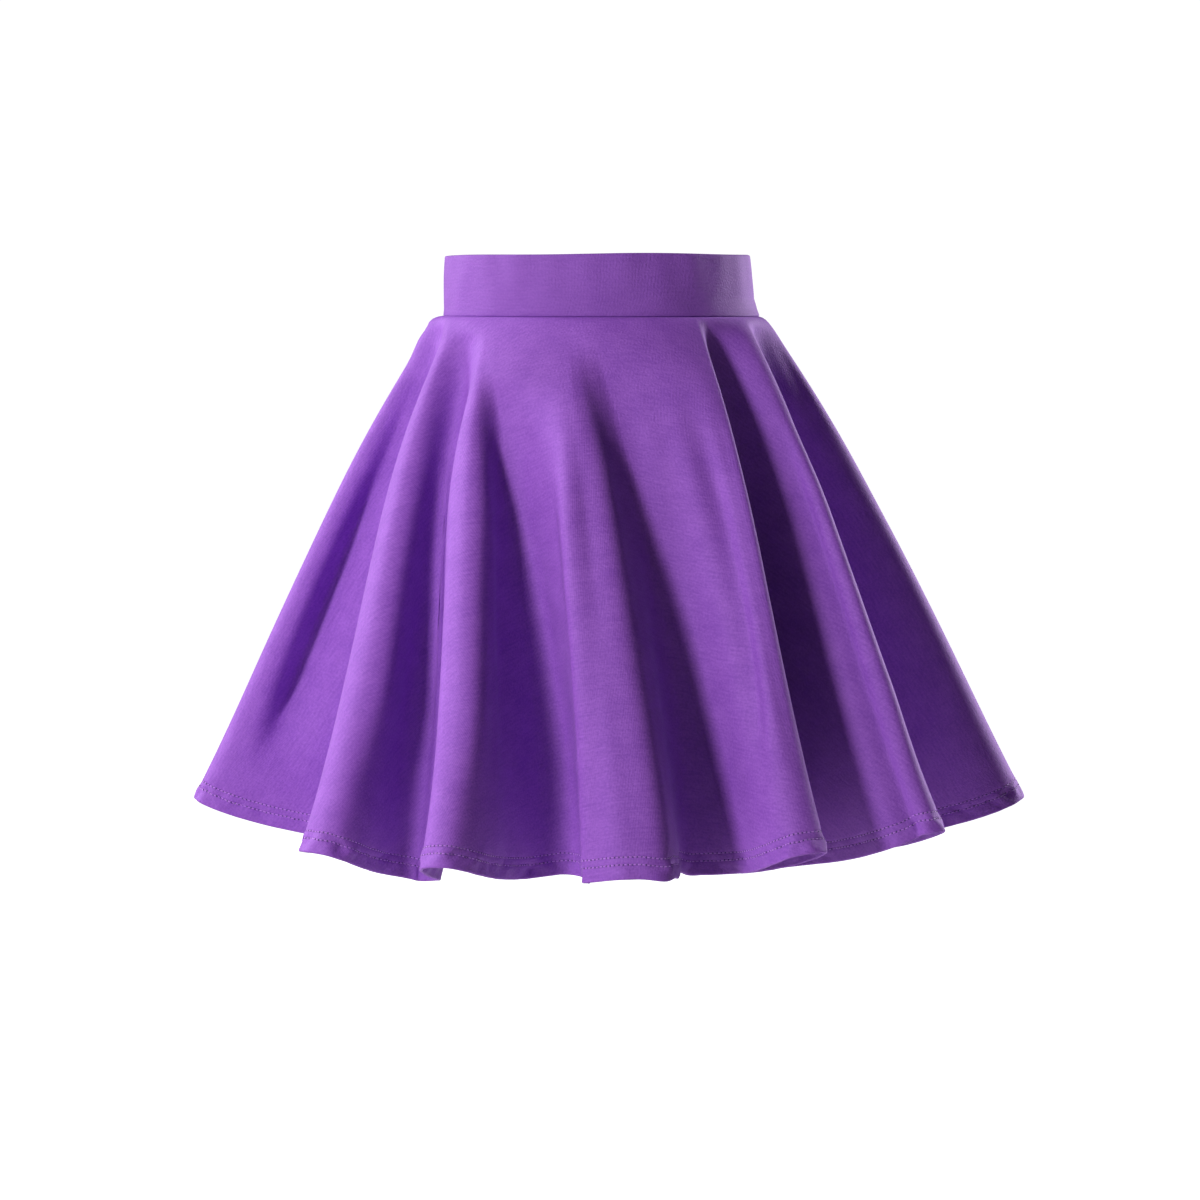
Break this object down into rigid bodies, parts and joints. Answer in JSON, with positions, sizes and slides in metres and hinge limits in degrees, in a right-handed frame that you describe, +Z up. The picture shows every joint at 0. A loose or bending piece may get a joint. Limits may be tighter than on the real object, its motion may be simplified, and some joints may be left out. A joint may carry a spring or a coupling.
{
  "type": "circle skirt",
  "caption": "Short flared circle skirt of soft jersey, filled out and hollow, with deep rounded flutes, a wide plain doubled waistband and a narrow turned-up hem.",
  "frame": {"origin": "centre of the waist, at mid-height of the waistband, where the wearer's waist holds the skirt", "axes": "+Z up along the wearer's waist, -Y towards the front of the skirt, +X to the right of someone looking at its front"},
  "size_m": [0.649, 0.5351, 0.4624],
  "materials": {
    "jersey": "matte cotton jersey knit with a soft sheen"
  },
  "bodies": {
    "root": {"waistband_front": "jersey", "waistband_back": "jersey", "skirt_front": "jersey", "skirt_back": "jersey", "hem_front": "jersey", "hem_back": "jersey"}
  },
  "joints": []
}
